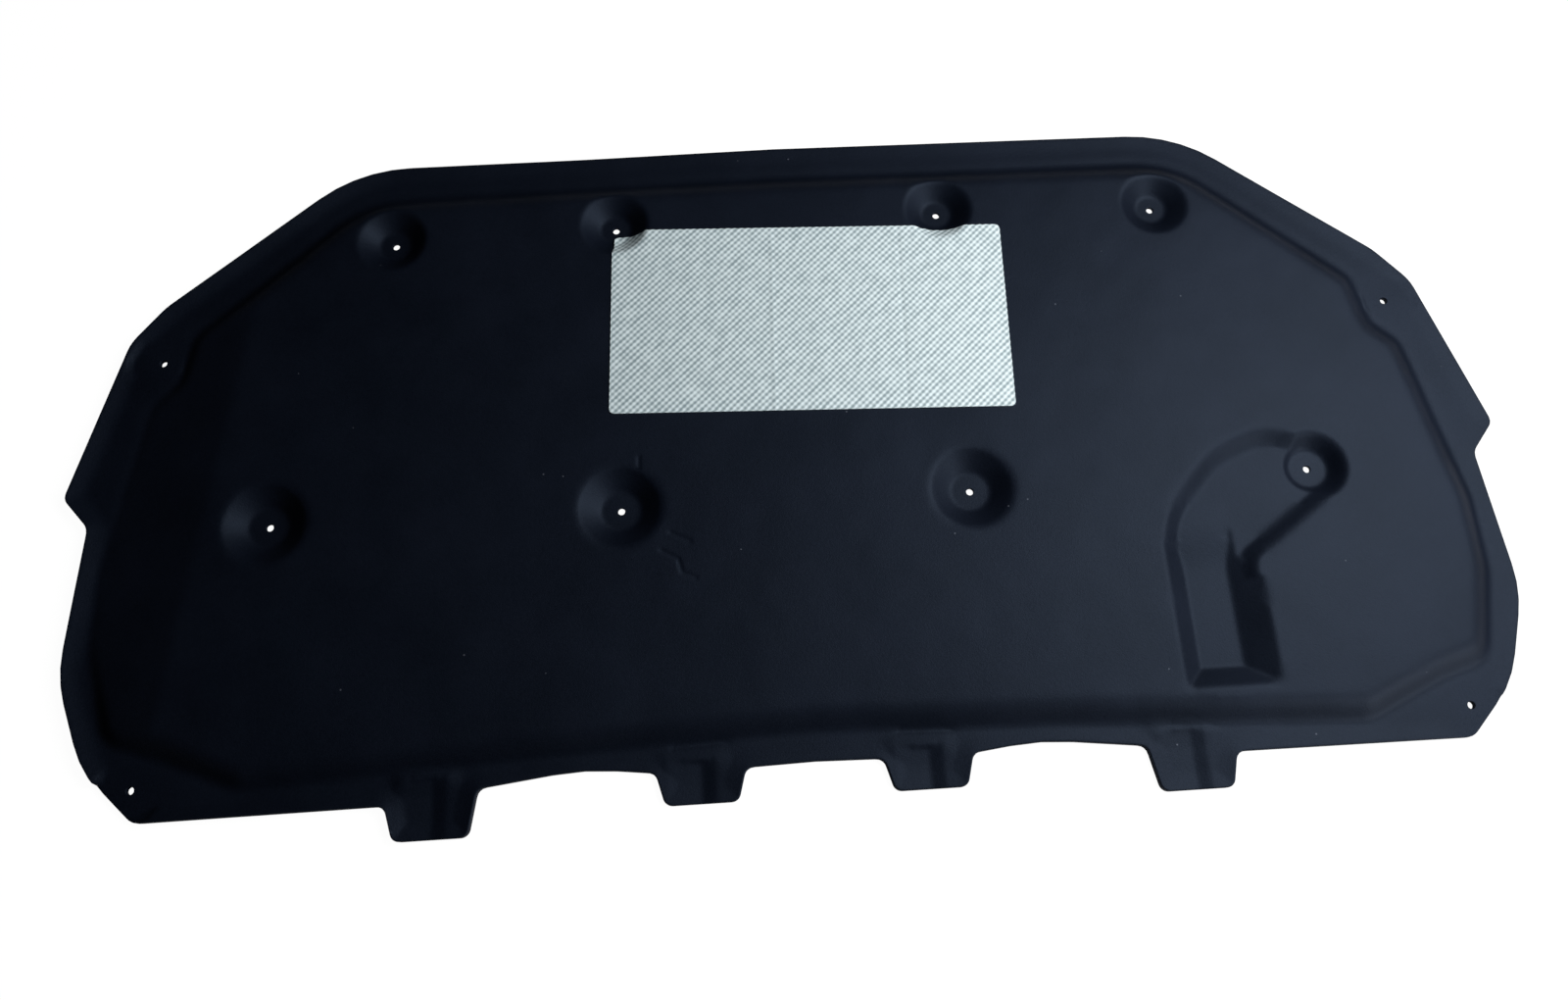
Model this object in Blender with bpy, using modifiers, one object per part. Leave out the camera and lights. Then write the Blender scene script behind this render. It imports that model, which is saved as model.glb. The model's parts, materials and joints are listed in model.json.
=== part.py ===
# Hood insulation pad: a hot-pressed felt mat with pressed clip seats, and a heat patch bonded to it.
# Units are metres. +X is the pad's right, +Y its front edge, +Z its visible face. It lies on its back.
# The origin is the middle of the pad's footprint, at the floor.

import math

import bmesh
import bpy
from mathutils import Matrix, Vector

# Overall size of the mat
SHOULDER_X = 0.6895        # half width at the tip of the side shoulder, before its corner is rounded
FRONT_Y = 0.3395           # front edge at the middle
REAR_Y = -0.3395           # end of the two outer tabs
FIELD_TOP = 0.018          # thickness of the padded field
FLANGE_TOP = 0.005         # thickness of the pressed flange
EDGE_R = 0.0015            # rounding of the flange's outer edge
WEB_TOP = 0.003            # thickness of the web left under each clip seat

# Outline of the mat, measured in from the shoulder's tip, the front edge or the rear end
FRONT_FALL = 0.005         # how much lower the front corner is than the middle of the front edge
FRONT_CORNER_IN = 0.262
FRONT_CORNER_R = 0.150
BROW_IN = 0.0775
BROW_DOWN = 0.1525
BROW_R = 0.060
CHEEK_IN = 0.0465
CHEEK_DOWN = 0.1895
CHEEK_R = 0.045
SHOULDER_Y = -0.0085
SHOULDER_R = 0.011
NOTCH_IN = 0.0255
NOTCH_DROP = 0.0300
NOTCH_R = 0.014
HIP_IN = 0.0145
HIP_Y = -0.178
HIP_R = 0.120
HAUNCH_IN = 0.0445
HAUNCH_Y = -0.263
HAUNCH_R = 0.120
REAR_CORNER_IN = 0.0910
REAR_CORNER_R = 0.016
REAR_EDGE_Y = -0.3095      # rear edge outside the outer tabs
BAY_Y = -0.2875            # rear edge between an outer and an inner tab, at its middle
BAY_X = 0.205
BAY_R = 0.240
MIDDLE_Y = -0.2935         # rear edge between the two inner tabs

# The four tabs of the rear edge
OUTER_TAB_X = 0.3395
INNER_TAB_X = 0.1020
INNER_TAB_SHORT = 0.0155   # how far the inner tabs end before the outer ones
TAB_WIDTH = 0.0650
TAB_FLARE = 0.0080         # how much wider each side of a tab is at its root
TAB_ROOT_OUT = 0.3085      # root of an outer tab on its outer side
TAB_ROOT_IN = 0.2985       # root of an outer tab on its inner side
INNER_TAB_ROOT = 0.2950
TAB_TIP_R = 0.0085
TAB_ROOT_R = 0.0090

# Foot of the padded field, where it meets the flange
FOOT_FRONT_MARGIN = 0.0350
FOOT_FRONT_FALL = 0.0040
FOOT_CORNER_IN = 0.2700
FOOT_CORNER_R = 0.1100
FOOT_BROW_IN = 0.1055
FOOT_BROW_DOWN = 0.1830
FOOT_SCALLOP_IN = 0.0965
FOOT_SCALLOP_DOWN = 0.2330
FOOT_CHEEK_IN = 0.0715
FOOT_CHEEK_DOWN = 0.2560
FOOT_SCALLOP_R = 0.0280
FOOT_WAIST_IN = 0.0375
FOOT_WAIST_Y = -0.0850
FOOT_HIP_Y = -0.1550
FOOT_HIP_R = 0.0600
FOOT_HAUNCH_IN = 0.0590
FOOT_HAUNCH_Y = -0.2420
FOOT_CORNER_CUT_IN = 0.1100
FOOT_CORNER_CUT_Y = -0.2580
FOOT_CUT_END_IN = 0.1820
FOOT_CUT_END_Y = -0.2900
FOOT_REAR_R = 0.0300
FOOT_BAY_X = 0.2400
FOOT_BAY_Y = -0.2770
FOOT_MIDDLE_Y = -0.2680

# Section of the field's edge, from its foot inwards
RAMP_WIDTH = 0.0150
LIP_WIDTH = 0.0070
LIP_RISE = 0.0028
CREASE_R = 0.0040          # radius of the crease pressed along the field's foot
CREASE_DEPTH = 0.0018

# The wide slope of the left margin: its upper edge runs between two points of the field's top
SLOPE_FRONT = (-0.5250, 0.1500)
SLOPE_REAR = (-0.5800, -0.2100)
SLOPE_RUN = 0.0820         # how far out the slope reaches the flange's level

# Clip seats: where each is, how wide its mouth is, and the hole through its web
CLIP_HOLE_R = 0.0035
TOP_FLOOR_R = 0.0160
MIDDLE_FLOOR_R = 0.0195
TOP_OUTER_SEAT = (0.3895, 0.2465)
TOP_INNER_SEAT = (0.1655, 0.2525)
MIDDLE_INNER_SEAT = (0.1670, -0.0495)
MIDDLE_OUTER_SEAT = (0.4975, -0.0460)
TOP_MOUTH_R = 0.0340
MIDDLE_MOUTH_R = 0.0400
RECESS_MOUTH_R = 0.0330    # the seat at the end of the recess
SEAT_LIP_R = 0.0080
LIP_START = math.radians(14)   # how steeply the lip's arc leaves the field
SEAT_FLOOR_FILLET = 0.0040
SIDE_HOLE_IN = 0.0780
SIDE_HOLE_Y = 0.1285
CORNER_HOLE_IN = 0.0870
CORNER_HOLE_Y = -0.2810

# The recess beside the right outer seat: a shallow bowl and a deeper straight leg
LEG_LEFT = 0.3370
LEG_RIGHT = 0.4280
LEG_REAR = -0.2555
LEG_FRONT = -0.0850
LEG_NIP = (0.0200, 0.0280)   # cut off the leg's corner under the bowl's rounded side
LEG_WALL = 0.0180
BOWL_FLOOR = 0.0080
BOWL_WALL = 0.0120
BOWL_SIDE_Y = -0.0910
BOWL_SIDE_R = 0.1000
BOWL_TOP_LEFT = (-0.1010, 0.0221)   # its two front corners, measured from the seat at its end
BOWL_TOP = (-0.0468, 0.0453)
BOWL_TOP_R = 0.0650
BOWL_END_PAST = 0.0050     # how far past the seat's mouth the two corners round it lie
BOWL_END_TURNS = (math.radians(41), math.radians(-36))
BOWL_ELBOW_Y = -0.1380     # inner corner, where the bowl's edge runs into the leg
BOWL_ELBOW_R = 0.0120
RECESS_LIP_WIDTH = 0.0050
RECESS_LIP_RISE = 0.0022
ABOVE = 0.0010             # how far a cutter stands above the face that it cuts

# The channel pressed along each tab, seen from the rear: a long slope and a short one
CHANNEL_DEPTH = 0.0026
CHANNEL_LONG = 0.0300
CHANNEL_SHORT = 0.0120
CHANNEL_SHIFT = 0.0010
CHANNEL_START_Y = -0.2860

# The heat patch
PATCH_WIDTH = 0.3940
PATCH_DEPTH = 0.1995
PATCH_THICK = 0.0010
PATCH_GAP = 0.0003         # glue line between the patch and the mat
PATCH_CENTRE = (0.0255, 0.1372)
PATCH_TURN = math.radians(-2.1)
PATCH_CORNER_R = 0.0050
BED_MARGIN = 0.0300        # how far the cutter that shapes the patch's underside reaches past it
ROW_PITCH = 0.0049         # the cloth is woven in slanting rows, with a groove between two rows
ROW_SLANT = math.radians(45)
ROW_GROOVE = 0.0016        # width of a groove at the cloth's face
ROW_DEPTH = 0.0003

# Fineness of the round forms
ARC_STEP = math.radians(9)
ARC_ROOM = 0.49            # the most of a straight side that the arc at one end may take
TURN_STEPS = 32
HOLE_STEPS = 20
CREASE_SIDES = 2
LIP_STEPS = 3
FILLET_STEPS = 2
EDGE_STEPS = 2
MERGE = 0.00001
FLAT_ANGLE = math.radians(0.5)


def start_empty_file():
    for ob in list(bpy.data.objects):
        bpy.data.objects.remove(ob, do_unlink=True)


def collection(name):
    col = bpy.data.collections.new(name)
    bpy.context.scene.collection.children.link(col)
    return col


def material(name, colour, roughness, metallic):
    mat = bpy.data.materials.new(name)
    mat.use_nodes = True
    shader = mat.node_tree.nodes["Principled BSDF"]
    shader.inputs["Base Color"].default_value = (*colour, 1.0)
    shader.inputs["Roughness"].default_value = roughness
    shader.inputs["Metallic"].default_value = metallic
    mat.diffuse_color = (*colour, 1.0)
    return mat


def rounded(corners, closed=True):
    """Points of a polygon whose corners (x, y, radius) are rounded by arcs."""
    count = len(corners)
    points = []
    for i, (x, y, radius) in enumerate(corners):
        here = Vector((x, y))
        if radius <= 0 or (not closed and i in (0, count - 1)):
            points.append(here)
            continue
        before = Vector(corners[i - 1][:2]) - here
        after = Vector(corners[(i + 1) % count][:2]) - here
        half = before.angle(after) / 2
        reach = min(radius / math.tan(half), ARC_ROOM * before.length, ARC_ROOM * after.length)
        fitted = reach * math.tan(half)
        first = here + before.normalized() * reach
        last = here + after.normalized() * reach
        centre = here + (before.normalized() + after.normalized()).normalized() * fitted / math.sin(half)
        sweep = math.pi - 2 * half
        steps = max(1, math.ceil(sweep / ARC_STEP))
        start = first - centre
        turn = start.angle_signed(last - centre)
        for k in range(steps + 1):
            arm = start.copy()
            arm.rotate(flat_turn(-turn * k / steps))
            points.append(centre + arm)
    return points


def flat_turn(angle):
    return Matrix.Rotation(angle, 2)


def mirrored(half):
    """A closed outline from its right half, which runs from the front middle to the rear middle."""
    right = rounded(half, closed=False)
    left = [Vector((-p.x, p.y)) for p in reversed(right[1:-1])]
    return right + left


def outline_curve(name, points, low, high):
    """A filled flat curve between two heights, made a mesh with one face on each side."""
    curve = bpy.data.curves.new(name, "CURVE")
    curve.dimensions = "2D"
    curve.fill_mode = "BOTH"
    curve.extrude = (high - low) / 2
    spline = curve.splines.new("POLY")
    spline.points.add(len(points) - 1)
    for slot, p in zip(spline.points, points):
        slot.co = (p.x, p.y, 0.0, 1.0)
    spline.use_cyclic_u = True
    guide = bpy.data.objects.new(name, curve)
    guide.location.z = (low + high) / 2
    return made_mesh(guide)


def made_mesh(guide):
    """The mesh object of a curve object, which is removed."""
    name = guide.name
    bpy.context.scene.collection.objects.link(guide)
    bpy.context.view_layer.update()
    evaluated = guide.evaluated_get(bpy.context.evaluated_depsgraph_get())
    mesh = bpy.data.meshes.new_from_object(evaluated)
    mesh.transform(guide.matrix_world)
    bpy.data.objects.remove(guide, do_unlink=True)
    bm = bmesh.new()
    bm.from_mesh(mesh)
    bmesh.ops.remove_doubles(bm, verts=bm.verts, dist=MERGE)
    bmesh.ops.dissolve_limit(bm, angle_limit=FLAT_ANGLE, verts=bm.verts, edges=bm.edges)
    bmesh.ops.recalc_face_normals(bm, faces=bm.faces)
    bm.to_mesh(mesh)
    bm.free()
    mesh.name = name
    return bpy.data.objects.new(name, mesh)


def step_cap(ob, up, steps):
    """Insets the flat cap that faces up or down, one (inward, outward) step after another."""
    bm = bmesh.new()
    bm.from_mesh(ob.data)
    cap = max(bm.faces, key=lambda f: f.normal.z * f.calc_area() * (1 if up else -1))
    for inward, outward in steps:
        bmesh.ops.inset_region(bm, faces=[cap], thickness=inward, depth=outward, use_even_offset=True)
    bm.to_mesh(ob.data)
    bm.free()


def round_over(radius, count):
    """The (inward, outward) steps of a quarter round, from a straight side to the cap."""
    turns = [math.pi / 2 * k / count for k in range(count + 1)]
    return [(radius * (math.cos(a) - math.cos(b)), radius * (math.sin(b) - math.sin(a)))
            for a, b in zip(turns, turns[1:])]


def cut_or_join(ob, tool, operation, cutters):
    tool.hide_render = True
    tool.display_type = "WIRE"
    cutters.objects.link(tool)
    mod = ob.modifiers.new(tool.name, "BOOLEAN")
    mod.operation = operation
    mod.object = tool
    mod.solver = "EXACT"


def mat_outline():
    front = SHOULDER_X
    tab_half = TAB_WIDTH / 2
    outer_end = REAR_Y
    inner_end = REAR_Y + INNER_TAB_SHORT
    return mirrored([
        (0.0, FRONT_Y, 0),
        (front - FRONT_CORNER_IN, FRONT_Y - FRONT_FALL, FRONT_CORNER_R),
        (front - BROW_IN, FRONT_Y - BROW_DOWN, BROW_R),
        (front - CHEEK_IN, FRONT_Y - CHEEK_DOWN, CHEEK_R),
        (front, SHOULDER_Y, SHOULDER_R),
        (front - NOTCH_IN, SHOULDER_Y - NOTCH_DROP, NOTCH_R),
        (front - HIP_IN, HIP_Y, HIP_R),
        (front - HAUNCH_IN, HAUNCH_Y, HAUNCH_R),
        (front - REAR_CORNER_IN, REAR_EDGE_Y, REAR_CORNER_R),
        (OUTER_TAB_X + tab_half + TAB_FLARE, -TAB_ROOT_OUT, TAB_ROOT_R),
        (OUTER_TAB_X + tab_half, outer_end, TAB_TIP_R),
        (OUTER_TAB_X - tab_half, outer_end, TAB_TIP_R),
        (OUTER_TAB_X - tab_half - TAB_FLARE, -TAB_ROOT_IN, TAB_ROOT_R),
        (BAY_X, BAY_Y, BAY_R),
        (INNER_TAB_X + tab_half + TAB_FLARE, -INNER_TAB_ROOT, TAB_ROOT_R),
        (INNER_TAB_X + tab_half, inner_end, TAB_TIP_R),
        (INNER_TAB_X - tab_half, inner_end, TAB_TIP_R),
        (INNER_TAB_X - tab_half - TAB_FLARE, -INNER_TAB_ROOT, TAB_ROOT_R),
        (0.0, MIDDLE_Y, 0),
    ])


def field_foot():
    front = SHOULDER_X
    foot_y = FRONT_Y - FOOT_FRONT_MARGIN
    return mirrored([
        (0.0, foot_y, 0),
        (front - FOOT_CORNER_IN, foot_y - FOOT_FRONT_FALL, FOOT_CORNER_R),
        (front - FOOT_BROW_IN, FRONT_Y - FOOT_BROW_DOWN, FOOT_SCALLOP_R),
        (front - FOOT_SCALLOP_IN, FRONT_Y - FOOT_SCALLOP_DOWN, FOOT_SCALLOP_R),
        (front - FOOT_CHEEK_IN, FRONT_Y - FOOT_CHEEK_DOWN, FOOT_SCALLOP_R),
        (front - FOOT_WAIST_IN, FOOT_WAIST_Y, FOOT_HIP_R),
        (front - FOOT_WAIST_IN, FOOT_HIP_Y, FOOT_HIP_R),
        (front - FOOT_HAUNCH_IN, FOOT_HAUNCH_Y, FOOT_REAR_R),
        (front - FOOT_CORNER_CUT_IN, FOOT_CORNER_CUT_Y, FOOT_REAR_R),
        (front - FOOT_CUT_END_IN, FOOT_CUT_END_Y, FOOT_REAR_R),
        (FOOT_BAY_X, FOOT_BAY_Y, FOOT_REAR_R),
        (0.0, FOOT_MIDDLE_Y, 0),
    ])


def crease_tool():
    """A round bar that runs along the field's foot, turned so that one of its flats is the lowest."""
    curve = bpy.data.curves.new("crease", "CURVE")
    curve.dimensions = "3D"
    curve.twist_mode = "Z_UP"
    curve.bevel_depth = CREASE_R
    curve.bevel_resolution = CREASE_SIDES
    half_side = math.pi / (4 + 2 * CREASE_SIDES)
    spline = curve.splines.new("POLY")
    points = field_foot()
    spline.points.add(len(points) - 1)
    for slot, p in zip(spline.points, points):
        slot.co = (p.x, p.y, FLANGE_TOP - CREASE_DEPTH + CREASE_R, 1.0)
        slot.tilt = half_side
    spline.use_cyclic_u = True
    return made_mesh(bpy.data.objects.new("crease", curve))


def turned_tool(name, profile, place):
    """A solid turned about +Z from a profile (radius, height) that runs from top to bottom."""
    mesh = bpy.data.meshes.new(name)
    verts = [(r, 0.0, z) for r, z in profile]
    mesh.from_pydata(verts, [(i, i + 1) for i in range(len(verts) - 1)], [])
    ob = bpy.data.objects.new(name, mesh)
    ob.location = (place[0], place[1], 0.0)
    screw = ob.modifiers.new("turn", "SCREW")
    screw.axis = "Z"
    screw.steps = TURN_STEPS
    screw.render_steps = TURN_STEPS
    screw.use_merge_vertices = True
    screw.merge_threshold = MERGE
    return ob


def seat_profile(mouth_r, floor_r, lift=0.0, above=ABOVE):
    """Half section of a clip seat: a soft lip, a straight wall and a filleted flat floor.

    The lip's arc leaves the field at a small angle, and the section goes on along it to its top.
    """
    depth = FIELD_TOP - WEB_TOP
    slope = math.atan2(depth, mouth_r - floor_r)
    lip_centre = mouth_r + SEAT_LIP_R * math.tan(slope / 2)
    start_r = lip_centre - SEAT_LIP_R * math.sin(LIP_START)
    start_z = FIELD_TOP - SEAT_LIP_R * (1 - math.cos(LIP_START))
    top = FIELD_TOP + above
    points = [(0.0, top), (start_r + (top - start_z) / math.tan(LIP_START), top)]
    for k in range(LIP_STEPS + 1):
        angle = LIP_START + (slope - LIP_START) * k / LIP_STEPS
        points.append((lip_centre - SEAT_LIP_R * math.sin(angle),
                       FIELD_TOP - SEAT_LIP_R * (1 - math.cos(angle))))
    floor_centre = floor_r - SEAT_FLOOR_FILLET * math.tan(slope / 2)
    for k in range(FILLET_STEPS + 1):
        angle = slope * (1 - k / FILLET_STEPS)
        points.append((floor_centre + SEAT_FLOOR_FILLET * math.sin(angle),
                       WEB_TOP + SEAT_FLOOR_FILLET * (1 - math.cos(angle))))
    points.append((0.0, WEB_TOP))
    return [(r, z + lift) for r, z in points]


def seats():
    """Name, place, mouth radius and floor radius of every clip seat sunk into the field."""
    rows = [
        ("top_outer", TOP_OUTER_SEAT, TOP_MOUTH_R, TOP_MOUTH_R, TOP_FLOOR_R),
        ("top_inner", TOP_INNER_SEAT, TOP_MOUTH_R, TOP_MOUTH_R, TOP_FLOOR_R),
        ("middle_inner", MIDDLE_INNER_SEAT, MIDDLE_MOUTH_R, MIDDLE_MOUTH_R, MIDDLE_FLOOR_R),
        ("middle_outer", MIDDLE_OUTER_SEAT, MIDDLE_MOUTH_R, RECESS_MOUTH_R, MIDDLE_FLOOR_R),
    ]
    for name, (x, y), left_r, right_r, floor_r in rows:
        yield name + "_left", (-x, y), left_r, floor_r
        yield name + "_right", (x, y), right_r, floor_r


def recess_bowl():
    x, y = MIDDLE_OUTER_SEAT
    reach = RECESS_MOUTH_R + BOWL_END_PAST
    outline = rounded([
        (LEG_LEFT, LEG_REAR, 0),
        (LEG_LEFT, BOWL_SIDE_Y, BOWL_SIDE_R),
        (x + BOWL_TOP_LEFT[0], y + BOWL_TOP_LEFT[1], BOWL_SIDE_R),
        (x + BOWL_TOP[0], y + BOWL_TOP[1], BOWL_TOP_R),
        *((x + reach * math.cos(turn), y + reach * math.sin(turn), RECESS_MOUTH_R)
          for turn in BOWL_END_TURNS),
        (LEG_RIGHT, BOWL_ELBOW_Y, BOWL_ELBOW_R),
        (LEG_RIGHT, LEG_REAR, 0),
    ])
    tool = outline_curve("recess_bowl", outline, FIELD_TOP + ABOVE, FIELD_TOP + 2 * ABOVE)
    wall_drop = FIELD_TOP + ABOVE - BOWL_FLOOR - RECESS_LIP_RISE
    step_cap(tool, False, [(RECESS_LIP_WIDTH, RECESS_LIP_RISE), (BOWL_WALL, wall_drop)])
    return tool


def recess_leg():
    outline = [Vector(p) for p in ((LEG_LEFT, LEG_REAR), (LEG_RIGHT, LEG_REAR), (LEG_RIGHT, LEG_FRONT),
                                   (LEG_LEFT + LEG_NIP[0], LEG_FRONT), (LEG_LEFT, LEG_FRONT - LEG_NIP[1]))]
    tool = outline_curve("recess_leg", outline, FIELD_TOP + ABOVE, FIELD_TOP + 2 * ABOVE)
    wall_drop = FIELD_TOP + ABOVE - WEB_TOP - RECESS_LIP_RISE
    step_cap(tool, False, [(RECESS_LIP_WIDTH, RECESS_LIP_RISE), (LEG_WALL, wall_drop)])
    return tool


def tabs():
    """Name, middle and end of each tab of the rear edge."""
    for side, sign in (("left", -1), ("right", 1)):
        yield "outer_" + side, sign * OUTER_TAB_X, REAR_Y
        yield "inner_" + side, sign * INNER_TAB_X, REAR_Y + INNER_TAB_SHORT


def v_bar(bm, start, run, left, right, low, high):
    """A bar of triangular section, ridge down, laid from a start along a run in plan."""
    side = Vector((-run.y, run.x)).normalized()
    tip_left = start - side * left
    tip_right = start + side * right
    face = bm.faces.new([bm.verts.new((*tip_left, high)), bm.verts.new((*start, low)),
                         bm.verts.new((*tip_right, high))])
    made = bmesh.ops.extrude_face_region(bm, geom=[face])
    moved = [v for v in made["geom"] if isinstance(v, bmesh.types.BMVert)]
    bmesh.ops.translate(bm, verts=moved, vec=(run.x, run.y, 0.0))


def bars_object(name, bm):
    bmesh.ops.recalc_face_normals(bm, faces=bm.faces)
    mesh = bpy.data.meshes.new(name)
    bm.to_mesh(mesh)
    bm.free()
    return bpy.data.objects.new(name, mesh)


def channel_tool(name, tab_x, end_y):
    """What presses the channel along a tab."""
    bm = bmesh.new()
    grow = 1 + ABOVE / CHANNEL_DEPTH
    start = Vector((tab_x + CHANNEL_SHIFT, CHANNEL_START_Y))
    run = Vector((0.0, end_y - 2 * ABOVE - CHANNEL_START_Y))
    v_bar(bm, start, run, CHANNEL_LONG * grow, CHANNEL_SHORT * grow,
          FLANGE_TOP - CHANNEL_DEPTH, FLANGE_TOP + ABOVE)
    return bars_object(name, bm)


def clip_holes():
    """Name and place of every clip hole: one in each seat, and four in the flange."""
    for name, place, _mouth_r, _floor_r in seats():
        yield name, place
    for side, sign in (("left", -1), ("right", 1)):
        yield "side_" + side, (sign * (SHOULDER_X - SIDE_HOLE_IN), SIDE_HOLE_Y)
        yield "corner_" + side, (sign * (SHOULDER_X - CORNER_HOLE_IN), CORNER_HOLE_Y)


def hole_tool(name, place):
    bm = bmesh.new()
    bmesh.ops.create_cone(bm, cap_ends=True, segments=HOLE_STEPS, radius1=CLIP_HOLE_R,
                          radius2=CLIP_HOLE_R, depth=2 * FIELD_TOP)
    mesh = bpy.data.meshes.new(name)
    bm.to_mesh(mesh)
    bm.free()
    ob = bpy.data.objects.new(name, mesh)
    ob.location = (place[0], place[1], FIELD_TOP / 2)
    ob.rotation_euler.z = math.pi / HOLE_STEPS
    return ob


def field_body():
    """The padded field: a foot on the flange, a ramp, a soft lip, and the left margin's slope."""
    foot = FLANGE_TOP - CREASE_DEPTH
    body = outline_curve("field", field_foot(), WEB_TOP / 2, foot)
    step_cap(body, True, [(RAMP_WIDTH, FIELD_TOP - LIP_RISE - foot), (LIP_WIDTH, LIP_RISE)])
    edge = Vector((SLOPE_REAR[0] - SLOPE_FRONT[0], SLOPE_REAR[1] - SLOPE_FRONT[1], 0.0)).normalized()
    outward = Vector((edge.y, -edge.x, 0.0))
    drop = FIELD_TOP - FLANGE_TOP
    normal = (outward * drop + Vector((0.0, 0.0, SLOPE_RUN))).normalized()
    bm = bmesh.new()
    bm.from_mesh(body.data)
    geom = bm.verts[:] + bm.edges[:] + bm.faces[:]
    cut = bmesh.ops.bisect_plane(bm, geom=geom, dist=MERGE, plane_co=(*SLOPE_FRONT, FIELD_TOP),
                                 plane_no=normal, clear_outer=True)
    rim = [e for e in cut["geom_cut"] if isinstance(e, bmesh.types.BMEdge)]
    bmesh.ops.contextual_create(bm, geom=rim)
    bmesh.ops.recalc_face_normals(bm, faces=bm.faces)
    bm.to_mesh(body.data)
    bm.free()
    return body


def insulation_mat(parts, cutters):
    """One pressed mat: the flange and the field, with everything that the press sank into them."""
    ob = outline_curve("insulation_mat", mat_outline(), 0.0, FLANGE_TOP - EDGE_R)
    step_cap(ob, True, round_over(EDGE_R, EDGE_STEPS))
    ob.data.materials.append(material("pressed_felt", (0.018, 0.020, 0.027), 0.85, 0.0))
    parts.objects.link(ob)
    cut_or_join(ob, crease_tool(), "DIFFERENCE", cutters)
    cut_or_join(ob, field_body(), "UNION", cutters)
    cut_or_join(ob, recess_bowl(), "DIFFERENCE", cutters)
    cut_or_join(ob, recess_leg(), "DIFFERENCE", cutters)
    for name, place, mouth_r, floor_r in seats():
        seat = turned_tool("seat_" + name, seat_profile(mouth_r, floor_r), place)
        cut_or_join(ob, seat, "DIFFERENCE", cutters)
    for name, place in clip_holes():
        cut_or_join(ob, hole_tool("hole_" + name, place), "DIFFERENCE", cutters)
    for name, tab_x, end_y in tabs():
        cut_or_join(ob, channel_tool("channel_" + name, tab_x, end_y), "DIFFERENCE", cutters)
    return ob


def patch_outline():
    half_w = PATCH_WIDTH / 2
    half_d = PATCH_DEPTH / 2
    turn = flat_turn(PATCH_TURN)
    corners = []
    for sx, sy in ((-1, -1), (1, -1), (1, 1), (-1, 1)):
        arm = Vector((sx * half_w, sy * half_d))
        arm.rotate(turn)
        corners.append((PATCH_CENTRE[0] + arm.x, PATCH_CENTRE[1] + arm.y, PATCH_CORNER_R))
    return rounded(corners)


def patch_bed(cutters, pressed):
    """What lies under the patch: a block up to the glue line, with the pressed seats cut into it."""
    bm = bmesh.new()
    bmesh.ops.create_cube(bm, size=1.0)
    under = FIELD_TOP + PATCH_GAP
    size = (PATCH_WIDTH + 2 * BED_MARGIN, PATCH_DEPTH + 2 * BED_MARGIN, under)
    bmesh.ops.scale(bm, verts=bm.verts, vec=size)
    bmesh.ops.translate(bm, verts=bm.verts, vec=(*PATCH_CENTRE, under / 2))
    mesh = bpy.data.meshes.new("patch_bed")
    bm.to_mesh(mesh)
    bm.free()
    bed = bpy.data.objects.new("patch_bed", mesh)
    for name, place, mouth_r, floor_r in pressed:
        dip = turned_tool("dip_" + name, seat_profile(mouth_r, floor_r, PATCH_GAP), place)
        cut_or_join(bed, dip, "DIFFERENCE", cutters)
    return bed


def row_tool():
    """What presses the grooves between the rows of the cloth: a bar for each, corner to corner."""
    bm = bmesh.new()
    run = Vector((1.0, 0.0))
    run.rotate(flat_turn(PATCH_TURN + ROW_SLANT))
    across = Vector((-run.y, run.x))
    reach = math.hypot(PATCH_WIDTH, PATCH_DEPTH) / 2 + BED_MARGIN
    face = FIELD_TOP + PATCH_GAP + PATCH_THICK
    count = math.floor(reach / ROW_PITCH)
    for k in range(-count, count + 1):
        start = Vector(PATCH_CENTRE) + across * (k * ROW_PITCH) - run * reach
        v_bar(bm, start, run * 2 * reach, ROW_GROOVE, ROW_GROOVE, face - ROW_DEPTH, face + ROW_DEPTH)
    return bars_object("rows", bm)


def heat_patch(parts, cutters):
    """The foil cloth: flat on the field, and pressed down the wall of each seat that it reaches."""
    pressed = [seat for seat in seats() if seat[0].startswith("top_inner")]
    top = FIELD_TOP + PATCH_GAP + PATCH_THICK
    ob = outline_curve("heat_patch", patch_outline(), WEB_TOP / 2, top)
    ob.data.materials.append(material("foil_cloth", (0.62, 0.68, 0.72), 0.42, 0.7))
    parts.objects.link(ob)
    cut_or_join(ob, patch_bed(cutters, pressed), "DIFFERENCE", cutters)
    for name, place, mouth_r, floor_r in pressed:
        upper = seat_profile(mouth_r, floor_r, PATCH_GAP + PATCH_THICK)
        cut_or_join(ob, turned_tool("hollow_" + name, upper, place), "DIFFERENCE", cutters)
    cut_or_join(ob, row_tool(), "DIFFERENCE", cutters)
    return ob


def build():
    start_empty_file()
    parts = collection("hood_insulation_pad")
    cutters = collection("cutters")
    insulation_mat(parts, cutters)
    heat_patch(parts, cutters)


build()
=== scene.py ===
import json
import math

import bmesh
import bpy
from mathutils import Matrix, Vector, noise
from mathutils.bvhtree import BVHTree


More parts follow.
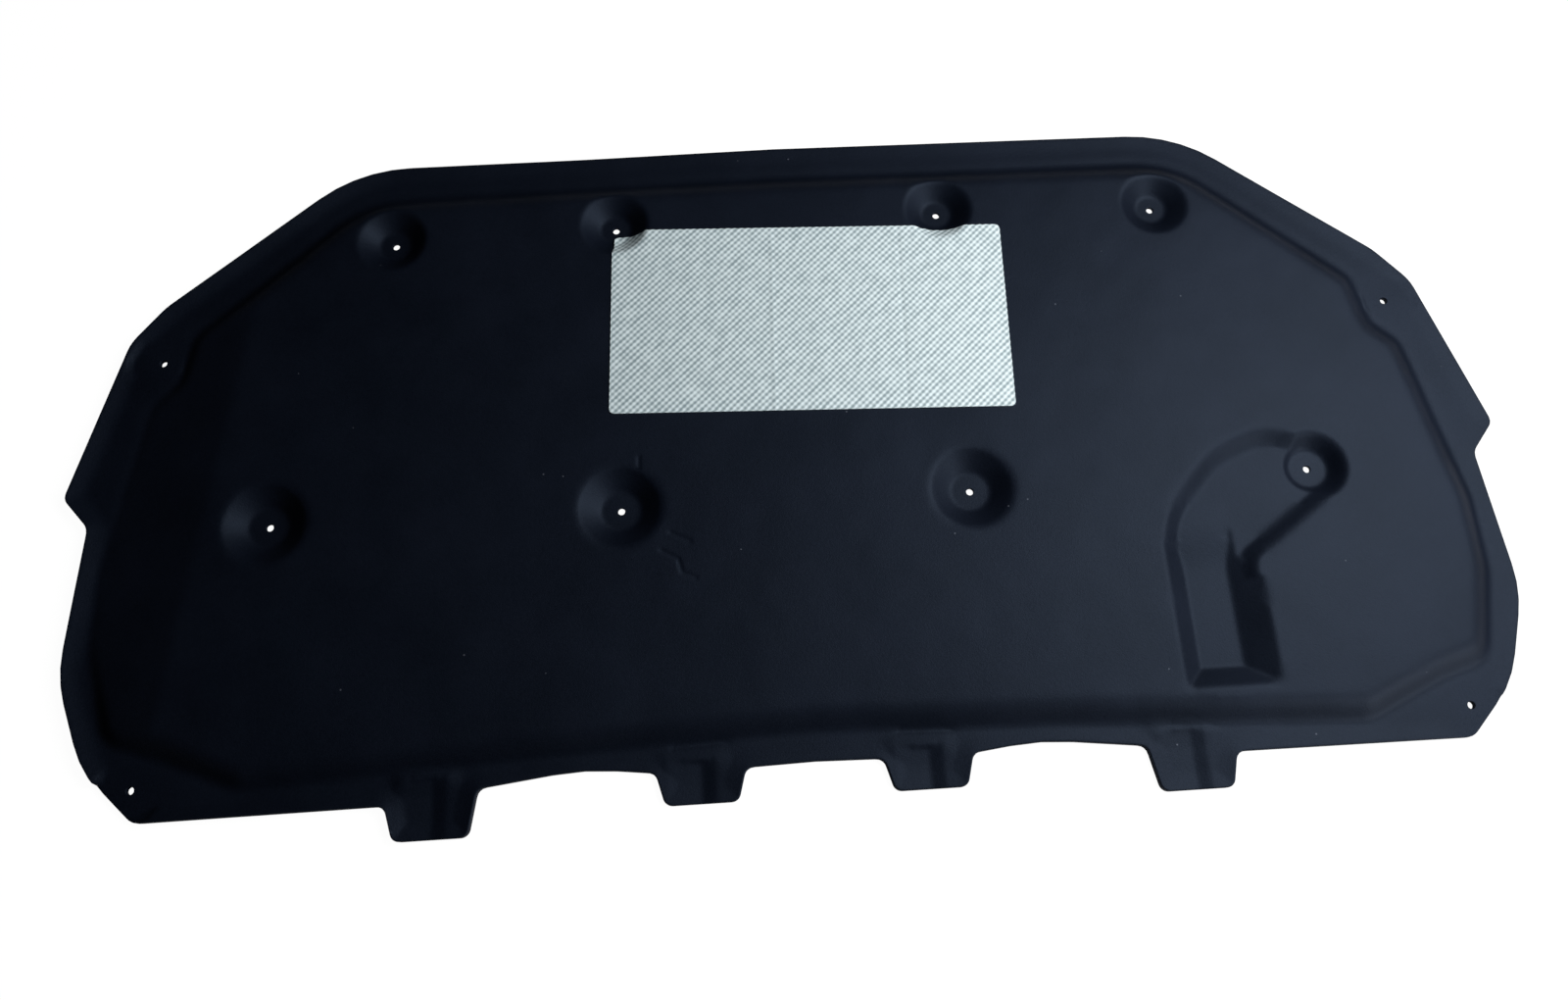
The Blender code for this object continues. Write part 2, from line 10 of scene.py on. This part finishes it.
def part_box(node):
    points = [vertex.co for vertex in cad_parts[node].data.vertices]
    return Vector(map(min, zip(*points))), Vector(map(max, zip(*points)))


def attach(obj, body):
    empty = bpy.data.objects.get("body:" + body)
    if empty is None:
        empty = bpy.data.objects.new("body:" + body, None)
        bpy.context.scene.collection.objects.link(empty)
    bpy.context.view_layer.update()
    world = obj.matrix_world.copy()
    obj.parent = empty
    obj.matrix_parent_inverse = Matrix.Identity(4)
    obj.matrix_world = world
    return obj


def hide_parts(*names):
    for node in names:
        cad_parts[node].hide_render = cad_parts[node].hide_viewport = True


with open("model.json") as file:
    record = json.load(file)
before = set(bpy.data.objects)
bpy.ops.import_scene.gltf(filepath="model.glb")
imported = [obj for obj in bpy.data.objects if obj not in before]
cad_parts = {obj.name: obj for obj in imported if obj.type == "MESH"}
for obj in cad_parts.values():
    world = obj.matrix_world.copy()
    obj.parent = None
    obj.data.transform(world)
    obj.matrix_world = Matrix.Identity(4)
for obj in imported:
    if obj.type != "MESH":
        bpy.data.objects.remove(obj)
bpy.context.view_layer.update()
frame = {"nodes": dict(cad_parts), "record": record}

# The mat: black polyester felt, pressed hot between two dies to a thick field with a thin flange
# round it, then die cut. Its plan is a fine grid laid over the pressed solid, which gives the grid
# its outline, its clip holes and its heights. The grid is then softened.
MAT_CELL = 0.0036
FINE_SEAT = 0.040                          # how far round each small form the grid is cut finer
FINE_TAB = 0.042
FINE_LEG = 0.056
FINE_HOLE = 0.012
FINE_CREASE = 0.010
TAB_MIDDLES = ((0.3400, -0.318), (0.1000, -0.306))
LEG_MIDDLES = ((0.3830, -0.210), (0.3830, -0.130))
CREASES = (                                # each one's two ends, read off the photo at the field's top
    ((-0.121, -0.077), (-0.102, -0.087)),
    ((-0.130, -0.094), (-0.114, -0.103)),
    ((-0.114, -0.103), (-0.111, -0.116)),
    ((-0.111, -0.116), (-0.098, -0.122)),
    ((-0.148, -0.001), (-0.148, -0.012)),
)
MAT_SOFTENING = 3                          # passes
MAT_EDGE_HEIGHT = 0.001                    # where on its height the cut edge is looked for
UPRIGHT = 0.02                             # a cut face's normal leans no more than this
SKIN_MERGE = 0.00001
BORDER_MERGE = 0.0004
PLAN_SOFTENING = 3
EDGE_BAND = 0.0030                         # how far in from a cut edge the heights are read
SKIRT = 0.0020                             # how far the grid reaches past the solid's box


def solid_trees(node):
    """Two search trees of a CAD node: its whole surface, and its upright cut edges alone."""
    solid = bmesh.new()
    solid.from_mesh(node.data)
    bmesh.ops.remove_doubles(solid, verts=solid.verts, dist=SKIN_MERGE)
    solid.normal_update()
    whole = BVHTree.FromBMesh(solid)
    sloped = [f for f in solid.faces if abs(f.normal.z) > UPRIGHT]
    bmesh.ops.delete(solid, geom=sloped, context="FACES")
    edges = BVHTree.FromBMesh(solid)
    solid.free()
    return whole, edges


def from_above(tree, x, y):
    """The height of a surface under a point, or None where there is nothing under it."""
    hit = tree.ray_cast(Vector((x, y, 1.0)), Vector((0.0, 0.0, -1.0)))
    return hit[0].z if hit[0] is not None else None


def cut_to_edges(bm, whole, edges, edge_height):
    """Trims a flat grid to a solid's plan, and moves its border onto the cut edges."""
    outside = [f for f in bm.faces
               if from_above(whole, f.calc_center_median().x, f.calc_center_median().y) is None]
    bmesh.ops.delete(bm, geom=outside, context="FACES")
    for vert in bm.verts:
        if vert.is_boundary:
            near = edges.find_nearest(Vector((vert.co.x, vert.co.y, edge_height)))[0]
            vert.co.x, vert.co.y = near.x, near.y
    border = [v for v in bm.verts if v.is_boundary]
    bmesh.ops.remove_doubles(bm, verts=border, dist=BORDER_MERGE)
    inner = [v for v in bm.verts if not v.is_boundary]
    for _ in range(PLAN_SOFTENING):
        bmesh.ops.smooth_vert(bm, verts=inner, factor=0.5, use_axis_x=True, use_axis_y=True)


def lay_on(bm, whole, edges, edge_height):
    """Gives each point of a trimmed grid the solid's height, read a little way in from a cut edge."""
    for vert in bm.verts:
        near, normal, _index, distance = edges.find_nearest(Vector((vert.co.x, vert.co.y, edge_height)))
        inward = max(0.0, EDGE_BAND - distance)
        height = from_above(whole, vert.co.x - normal.x * inward, vert.co.y - normal.y * inward)
        if height is None:
            height = from_above(whole, near.x - normal.x * EDGE_BAND, near.y - normal.y * EDGE_BAND)
        vert.co.z = height


def soften_heights(bm, passes):
    for _ in range(passes):
        bmesh.ops.smooth_vert(bm, verts=bm.verts, factor=0.5, use_axis_z=True)


def share_of(value, begin, end):
    """How far a value is from one bound to another, from 0 to 1."""
    return min(1.0, max(0.0, (value - begin) / (end - begin)))


def centre_of(box):
    return Vector(((box[0][0] + box[1][0]) / 2, (box[0][1] + box[1][1]) / 2))


openings = {o["name"]: o["box_m"] for o in frame["record"]["physics"]["openings"]}
clip_holes = [centre_of(box) for name, box in openings.items() if name.startswith("clip_hole")]
seats = [centre_of(box) for name, box in openings.items() if name.startswith("clip_seat")]
tab_spots = [Vector((side * x, y)) for x, y in TAB_MIDDLES for side in (-1, 1)]
finer_spots = (
    [(seat, FINE_SEAT) for seat in seats] + [(spot, FINE_TAB) for spot in tab_spots]
    + [(Vector(spot), FINE_LEG) for spot in LEG_MIDDLES] + [(hole, 2 * FINE_HOLE) for hole in clip_holes],
    [(hole, FINE_HOLE) for hole in clip_holes]
    + [((Vector(a) + Vector(b)) / 2, FINE_CREASE + (Vector(a) - Vector(b)).length / 2) for a, b in CREASES],
)
mat_whole, mat_edges = solid_trees(frame["nodes"]["insulation_mat"])
mat_low, mat_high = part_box("insulation_mat")
mat_size = mat_high - mat_low
columns = math.ceil((mat_size.x + 2 * SKIRT) / MAT_CELL)
rows = math.ceil((mat_size.y + 2 * SKIRT) / MAT_CELL)
felt = bmesh.new()
bmesh.ops.create_grid(felt, x_segments=columns, y_segments=rows, size=0.5)
bmesh.ops.scale(felt, verts=felt.verts, vec=(columns * MAT_CELL, rows * MAT_CELL, 1.0))
for spots in finer_spots:
    finer = [e for e in felt.edges
             if any((e.verts[0].co.xy - spot).length < radius for spot, radius in spots)]
    bmesh.ops.subdivide_edges(felt, edges=finer, cuts=1, use_grid_fill=True)
cut_to_edges(felt, mat_whole, mat_edges, MAT_EDGE_HEIGHT)
lay_on(felt, mat_whole, mat_edges, MAT_EDGE_HEIGHT)

# In the recess, the felt runs from the leg's floor up to the bowl's floor without an edge.
LEG_FLOOR = 0.003
BOWL_FLOOR = 0.008
FLOOR_SLACK = 0.0003
RAMP = (-0.144, -0.094)                    # from where to where it runs up
RAMP_EDGE = -0.110                         # where the pressed solid has its edge
RAMP_SIDES = (0.345, 0.400, 0.425)         # it fades out between the last two
for vert in felt.verts:
    x, y, z = vert.co
    if RAMP_SIDES[0] < x < RAMP_SIDES[2] and RAMP[0] < y < RAMP[1] and z < BOWL_FLOOR + FLOOR_SLACK:
        share = share_of(y, *RAMP)
        target = LEG_FLOOR + (BOWL_FLOOR - LEG_FLOOR) * share * share * (3 - 2 * share)
        weight = 1.0 - share_of(x, RAMP_SIDES[1], RAMP_SIDES[2])
        vert.co.z = z + (target - z) * weight if y > RAMP_EDGE else max(z, target)

# The leg's outer wall is wide and straight from floor to field, and dies away round the inner corner.
LEG_WALL_FOOT = (0.401, LEG_FLOOR)
LEG_WALL_BROW = (0.429, 0.0178)
LEG_WALL_RUN = (-0.2555, -0.100)
LEG_WALL_DIES = (-0.152, -0.128)
for vert in felt.verts:
    x, y, z = vert.co
    if LEG_WALL_FOOT[0] < x < LEG_WALL_BROW[0] and LEG_WALL_RUN[0] < y < LEG_WALL_RUN[1]:
        rise = LEG_WALL_BROW[1] - LEG_WALL_FOOT[1]
        wall = LEG_WALL_FOOT[1] + rise * share_of(x, LEG_WALL_FOOT[0], LEG_WALL_BROW[0])
        if y > LEG_WALL_DIES[0]:
            fall = (LEG_WALL_BROW[1] - BOWL_FLOOR) * share_of(y, *LEG_WALL_DIES)
            vert.co.z = max(z, min(wall, LEG_WALL_BROW[1] - fall))
        else:
            vert.co.z = max(wall, from_above(mat_whole, LEG_WALL_FOOT[0] - MAT_CELL, y))
soften_heights(felt, MAT_SOFTENING)

# What the press and the fleece leave on the mat: a slow unevenness of the felt, a flange that turns
# up towards its cut edge, and short creases where the fleece was drawn into the clip seats.
UNEVEN = ((11.0, 0.00050), (37.0, 0.00022))     # waves in a metre, and how high they stand
FLANGE_UNEVEN_LOSS = 0.7
FLANGE_TOPS = (0.008, 0.005)                    # above the first it is no flange, below the second it is
FLANGE_TURN_UP = 0.0016
FLANGE_TURN_MORE = 0.0040                       # added at the left end, where the flange has curled
FLANGE_CURL_RUN = (-0.20, -0.45)
FLANGE_TURN_WIDTH = 0.017
FLANGE_TURN_BEND = 1.35
FLANGE_FLAT_ROUND_HOLE = 0.030
CREASE_WIDTH = 0.0022
CREASE_DEPTH = 0.0010


def crease_at(x, y):
    """How deep the creases are pressed at a point of the field."""
    depth = 0.0
    for begin, end in CREASES:
        a, b = Vector(begin), Vector(end)
        run = b - a
        share = min(1.0, max(0.0, (Vector((x, y)) - a).dot(run) / run.length_squared))
        away = (Vector((x, y)) - a - run * share).length
        if away < 3 * CREASE_WIDTH:
            depth = max(depth, CREASE_DEPTH * math.exp(-(away / CREASE_WIDTH) ** 2 * 2))
    return depth


for vert in felt.verts:
    x, y, z = vert.co
    on_flange = share_of(z, *FLANGE_TOPS)
    for waves, height in UNEVEN:
        wave = noise.noise(Vector((x * waves, y * waves, 0.0)))
        vert.co.z += height * wave * (1 - FLANGE_UNEVEN_LOSS * on_flange)
    edge_distance = mat_edges.find_nearest(Vector((x, y, MAT_EDGE_HEIGHT)))[3]
    turn = max(0.0, 1 - edge_distance / FLANGE_TURN_WIDTH)
    near_hole = any((vert.co.xy - hole).length < FLANGE_FLAT_ROUND_HOLE for hole in clip_holes)
    if on_flange and not near_hole:
        turn_up = FLANGE_TURN_UP + FLANGE_TURN_MORE * share_of(x, *FLANGE_CURL_RUN)
        vert.co.z += turn_up * turn ** FLANGE_TURN_BEND * on_flange
    vert.co.z -= crease_at(x, y)

# The mat's cut edges and its flat back close the skin to one solid, with the edges broken by hand.
MAT_RIM = 0.0014
HOLE_RIM = 0.0005
HOLE_REACH = 0.006                              # the hole's rim is nearer its middle than this


def extruded(bm, edges):
    """Extrudes edges on the spot, and gives back the new points and the new edges between them."""
    made = bmesh.ops.extrude_edge_only(bm, edges=edges)["geom"]
    points = [g for g in made if isinstance(g, bmesh.types.BMVert)]
    new = set(points)
    return points, [g for g in made if isinstance(g, bmesh.types.BMEdge) and new.issuperset(g.verts)]


def broken(bm, edges, width, steps):
    """Breaks sharp edges with a small round."""
    bmesh.ops.bevel(bm, geom=edges, offset=width, offset_type="OFFSET", segments=steps, profile=0.5,
                    affect="EDGES", material=-1)


rim = [e for e in felt.edges if e.is_boundary]
hole_rim = [e for e in rim if any((e.verts[0].co.xy - hole).length < HOLE_REACH for hole in clip_holes)]
outer_rim = [e for e in rim if e not in set(hole_rim)]
foot_points, foot_edges = extruded(felt, rim)
for vert in foot_points:
    vert.co.z = 0.0
bmesh.ops.triangle_fill(felt, use_beauty=True, use_dissolve=False, edges=foot_edges)
broken(felt, outer_rim, MAT_RIM, 3)
broken(felt, hole_rim, HOLE_RIM, 2)
bmesh.ops.recalc_face_normals(felt, faces=felt.faces)

SHARP = math.radians(60)


def finished(name, bm):
    """A smooth-shaded object from a bmesh, with its place in its mesh."""
    mesh = bpy.data.meshes.new(name)
    bm.to_mesh(mesh)
    bm.free()
    mesh.shade_smooth()
    mesh.set_sharp_from_angle(angle=SHARP)
    ob = bpy.data.objects.new(name, mesh)
    bpy.context.scene.collection.objects.link(ob)
    return ob


mat_felt = finished("mat_felt", felt)

# The felt's face: fine fibres laid every way, a blue cast on black, and a few pale lint specks.
FELT_DARK = (0.0014, 0.0023, 0.0052, 1)
FELT_PALE = (0.0034, 0.0049, 0.0098, 1)
FELT_TONES = (0.35, 0.65)                       # where the two lie on the mixed pattern
FELT_GLOSS = {"Roughness": 0.56, "Specular IOR Level": 0.15, "Specular Tint": (0.55, 0.72, 1.0, 1)}
FIBRE_PATTERN = {"Scale": 420.0, "Detail": 4.0, "Distortion": 1.4}
CLOUD_PATTERN = {"Scale": 14.0, "Detail": 5.0}
CLOUD_SHARE = 0.5
FIBRE_RELIEF = {"Strength": 0.5, "Distance": 0.0004}
LINT = (0.050, 0.056, 0.070, 1)
LINT_SCALE = 55.0
LINT_RADIUS = 0.045                             # in cells of its pattern
LINT_RARITY = 0.90                              # the share of cells that stay clean


def new_material(name, surface):
    """A material, its nodes, its links, and its shader with the surface's values."""
    material = bpy.data.materials.new(name)
    material.use_nodes = True
    shader = material.node_tree.nodes["Principled BSDF"]
    for socket, value in surface.items():
        shader.inputs[socket].default_value = value
    return material, material.node_tree.nodes, material.node_tree.links, shader


def add(nodes, kind, values, **settings):
    """A node with its settings, and with values on its sockets."""
    node = nodes.new("ShaderNode" + kind)
    for setting, value in settings.items():
        setattr(node, setting, value)
    for socket, value in values.items():
        node.inputs[socket].default_value = value
    return node


felt_finish, nodes, links, shader = new_material("pressed_felt", FELT_GLOSS)
place = add(nodes, "TexCoord", {}).outputs["Object"]
fibres = add(nodes, "TexNoise", FIBRE_PATTERN)
cloudy = add(nodes, "TexNoise", CLOUD_PATTERN)
fibre_part = add(nodes, "Math", {1: 1 - CLOUD_SHARE}, operation="MULTIPLY")
both = add(nodes, "Math", {1: CLOUD_SHARE}, operation="MULTIPLY_ADD")
tint = add(nodes, "ValToRGB", {})
for element, position, colour in zip(tint.color_ramp.elements, FELT_TONES, (FELT_DARK, FELT_PALE)):
    element.position = position
    element.color = colour
lint = add(nodes, "TexVoronoi", {"Scale": LINT_SCALE})
small = add(nodes, "Math", {1: LINT_RADIUS}, operation="LESS_THAN")
pick = add(nodes, "SeparateXYZ", {})
rare = add(nodes, "Math", {1: LINT_RARITY}, operation="GREATER_THAN")
speck = add(nodes, "Math", {}, operation="MULTIPLY")
linted = add(nodes, "Mix", {"B": LINT}, data_type="RGBA")
grain = add(nodes, "Bump", FIBRE_RELIEF)
for begin, end in (
        (place, fibres.inputs["Vector"]),
        (place, cloudy.inputs["Vector"]),
        (fibres.outputs["Fac"], fibre_part.inputs[0]),
        (cloudy.outputs["Fac"], both.inputs[0]),
        (fibre_part.outputs[0], both.inputs[2]),
        (both.outputs[0], tint.inputs["Fac"]),
        (place, lint.inputs["Vector"]),
        (lint.outputs["Distance"], small.inputs[0]),
        (lint.outputs["Color"], pick.inputs[0]),
        (pick.outputs["X"], rare.inputs[0]),
        (small.outputs[0], speck.inputs[0]),
        (rare.outputs[0], speck.inputs[1]),
        (speck.outputs[0], linted.inputs["Factor"]),
        (tint.outputs["Color"], linted.inputs["A"]),
        (linted.outputs["Result"], shader.inputs["Base Color"]),
        (fibres.outputs["Fac"], grain.inputs["Height"]),
        (grain.outputs["Normal"], shader.inputs["Normal"])):
    links.new(begin, end)
mat_felt.data.materials.append(felt_finish)
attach(mat_felt, "root")
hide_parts("insulation_mat")

# The heat patch: aluminised glass cloth, bonded over the field and drawn into two of the seats. It is
# woven in slanting rows, and was stored folded, which left two soft folds across it.
PATCH_CELL = 0.00105
PATCH_TURN = math.radians(-2.1)
PATCH_SIZE = (0.3940, 0.1995)
PATCH_EDGE_DEPTH = 0.0008                  # how far under its top the cut edge is looked for
PATCH_SOFTENING = 4                        # passes
PATCH_THICK = 0.0009
ROW_PITCH = 0.0049
ROW_SLANT = math.radians(45)
ROW_HEIGHT = 0.00022
STITCH_HEIGHT = 0.00010
FOLDS = ((-0.0366, 0.00030), (0.0925, -0.00030))   # across the patch, and how far each stands up
FOLD_WIDTH = 0.0022
patch_whole, patch_edges = solid_trees(frame["nodes"]["heat_patch"])
patch_low, patch_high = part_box("heat_patch")
patch_centre = Vector(((patch_low.x + patch_high.x) / 2, (patch_low.y + patch_high.y) / 2, 0.0))
turned = Matrix.Rotation(PATCH_TURN, 3, "Z")
cloth = bmesh.new()
bmesh.ops.create_grid(cloth, x_segments=round(PATCH_SIZE[0] / PATCH_CELL),
                      y_segments=round(PATCH_SIZE[1] / PATCH_CELL), size=0.5)
bmesh.ops.scale(cloth, verts=cloth.verts, vec=(*PATCH_SIZE, 1.0))
bmesh.ops.rotate(cloth, verts=cloth.verts, matrix=turned)
bmesh.ops.translate(cloth, verts=cloth.verts, vec=patch_centre)
cut_to_edges(cloth, patch_whole, patch_edges, patch_high.z - PATCH_EDGE_DEPTH)
lay_on(cloth, patch_whole, patch_edges, patch_high.z - PATCH_EDGE_DEPTH)
soften_heights(cloth, PATCH_SOFTENING)
woven = cloth.loops.layers.uv.new("rows")
straight = turned.inverted()
for vert in cloth.verts:
    local = straight @ (vert.co - patch_centre)
    along = (local.x * math.cos(ROW_SLANT) + local.y * math.sin(ROW_SLANT)) / ROW_PITCH
    across = (local.y * math.cos(ROW_SLANT) - local.x * math.sin(ROW_SLANT)) / ROW_PITCH
    vert.co.z += ROW_HEIGHT * (math.cos(2 * math.pi * across) - 1) / 2
    vert.co.z += STITCH_HEIGHT * (math.cos(2 * math.pi * along) - 1) / 2
    for fold, height in FOLDS:
        vert.co.z += height * math.exp(-((local.x - fold) / FOLD_WIDTH) ** 2)
    for loop in vert.link_loops:
        loop[woven].uv = (along, across)
hem_points, _hem_edges = extruded(cloth, [e for e in cloth.edges if e.is_boundary])
bmesh.ops.translate(cloth, verts=hem_points, vec=(0.0, 0.0, -PATCH_THICK))
patch_cloth = finished("patch_cloth", cloth)

# The cloth's face: pale yarn in rows, its tone uneven along them, with painted shade in the colour: darker
# in the grooves between the rows and across the stitches, just where the relief dips.
# the dark end of the tone is painted shade for the weave's grooves
CLOTH_GROOVE_SHADE = (0.20, 0.26, 0.28, 1)
CLOTH_YARN = (0.61, 0.70, 0.725, 1)
CLOTH_GLOSS = {"Roughness": 0.55, "Specular IOR Level": 0.35}
STITCH_SHADE_SHARE = 0.45                        # against the rows
YARN_PATTERN = {"Scale": 1.0, "Detail": 3.0}
YARN_STRETCH = (0.30, 1.0, 1.0)            # the yarn's unevenness is drawn out along the rows
YARN_SHARE = 2.4
TONE_RANGE = {"From Min": 0.0, "From Max": 2.4}
cloth_finish, nodes, links, shader = new_material("foil_cloth", CLOTH_GLOSS)
uv = add(nodes, "UVMap", {}, uv_map="rows").outputs["UV"]
parts = add(nodes, "SeparateXYZ", {})
links.new(uv, parts.inputs[0])


def wave_of(output):
    """A wave with one turn for each unit of an output."""
    turns = add(nodes, "Math", {1: 2 * math.pi}, operation="MULTIPLY")
    links.new(output, turns.inputs[0])
    wave = add(nodes, "Math", {}, operation="COSINE")
    links.new(turns.outputs[0], wave.inputs[0])
    return wave.outputs[0]


# painted shade: the colour falls with the row grooves and the stitch dips of the relief
mixed = add(nodes, "Math", {1: STITCH_SHADE_SHARE}, operation="MULTIPLY_ADD")
stretch = add(nodes, "Mapping", {"Scale": YARN_STRETCH})
uneven = add(nodes, "TexNoise", YARN_PATTERN)
yarn_tone_and_groove_shade = add(nodes, "Math", {1: YARN_SHARE}, operation="MULTIPLY_ADD")
tone = add(nodes, "MapRange", TONE_RANGE)
tint = add(nodes, "ValToRGB", {})
for element, colour in zip(tint.color_ramp.elements, (CLOTH_GROOVE_SHADE, CLOTH_YARN)):
    element.color = colour
for begin, end in (
        (wave_of(parts.outputs["X"]), mixed.inputs[0]),
        (wave_of(parts.outputs["Y"]), mixed.inputs[2]),
        (uv, stretch.inputs["Vector"]),
        (stretch.outputs["Vector"], uneven.inputs["Vector"]),
        (uneven.outputs["Fac"], yarn_tone_and_groove_shade.inputs[0]),
        (mixed.outputs[0], yarn_tone_and_groove_shade.inputs[2]),
        (yarn_tone_and_groove_shade.outputs[0], tone.inputs["Value"]),
        (tone.outputs[0], tint.inputs["Fac"]),
        (tint.outputs["Color"], shader.inputs["Base Color"])):
    links.new(begin, end)
patch_cloth.data.materials.append(cloth_finish)
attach(patch_cloth, "root")
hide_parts("heat_patch")

# The floor that the pad lies on is white paper. It shows as pure white but for the pad's own shadow,
# because most of what the camera sees of it is an even glow.
FLOOR_HALF = 6.0
FLOOR_UNDER = 0.0004
PAPER = {"Base Color": (0.80, 0.80, 0.80, 1), "Roughness": 0.9}
PAPER_GLOW = 1.08
PAPER_GLOW_SHARE = 0.90
floor_plan = bmesh.new()
bmesh.ops.create_grid(floor_plan, x_segments=1, y_segments=1, size=FLOOR_HALF)
bmesh.ops.translate(floor_plan, verts=floor_plan.verts, vec=(0.0, 0.0, -FLOOR_UNDER))
floor = finished("floor", floor_plan)
paper, nodes, links, shader = new_material("white_paper", PAPER)
glow = add(nodes, "Emission", {"Strength": PAPER_GLOW})
seen = add(nodes, "LightPath", {})
share = add(nodes, "Math", {1: PAPER_GLOW_SHARE}, operation="MULTIPLY")
blend = add(nodes, "MixShader", {})
for begin, end in (
        (seen.outputs["Is Camera Ray"], share.inputs[0]),
        (share.outputs[0], blend.inputs["Fac"]),
        (shader.outputs["BSDF"], blend.inputs[1]),
        (glow.outputs["Emission"], blend.inputs[2]),
        (blend.outputs["Shader"], nodes["Material Output"].inputs["Surface"])):
    links.new(begin, end)
floor.data.materials.append(paper)

# Light: a soft box above the pad's right end, a smaller one low at its front right, and a weak even
# sky that shows as white.
SKY_LEVELS = {"To Min": 0.02, "To Max": 1.0}    # what lights the pad, and what the camera sees
LAMPS = (                                       # name, place, aim, side in metres, watts
    ("soft_box", Vector((0.90, 0.18, 0.98)), Vector((0.04, 0.03, 0.0)), 0.8, 25.5),
    ("low_box", Vector((1.20, -0.85, 0.60)), Vector((0.25, -0.15, 0.0)), 0.6, 13.0),
)
world = bpy.data.worlds.new("studio")
bpy.context.scene.world = world
world.use_nodes = True
nodes, links = world.node_tree.nodes, world.node_tree.links
sky = nodes["Background"]
sky.inputs["Color"].default_value = (1.0, 1.0, 1.0, 1)
seen = add(nodes, "LightPath", {})
level = add(nodes, "MapRange", SKY_LEVELS)
links.new(seen.outputs["Is Camera Ray"], level.inputs["Value"])
links.new(level.outputs[0], sky.inputs["Strength"])
for name, spot, aim, side, watts in LAMPS:
    lamp = bpy.data.lights.new(name, "AREA")
    lamp.shape = "SQUARE"
    lamp.size = side
    lamp.energy = watts
    lamp_ob = bpy.data.objects.new(name, lamp)
    lamp_ob.location = spot
    lamp_ob.rotation_euler = (aim - spot).to_track_quat("-Z", "Y").to_euler()
    bpy.context.scene.collection.objects.link(lamp_ob)

# Camera: a little in front of the pad's middle and above it, as the photo was taken.
EYE_PLACE = (-0.0511, -0.3848, 1.0733)
EYE_TURN = (17.5934, -0.9305, -3.6935)          # degrees
LENS = 26.95
camera = bpy.data.cameras.new("camera")
camera.lens = LENS
camera.sensor_width = 36.0
eye = bpy.data.objects.new("camera", camera)
eye.location = EYE_PLACE
eye.rotation_euler = [math.radians(angle) for angle in EYE_TURN]
bpy.context.scene.collection.objects.link(eye)
bpy.context.scene.camera = eye
bpy.context.scene.view_settings.view_transform = "Standard"
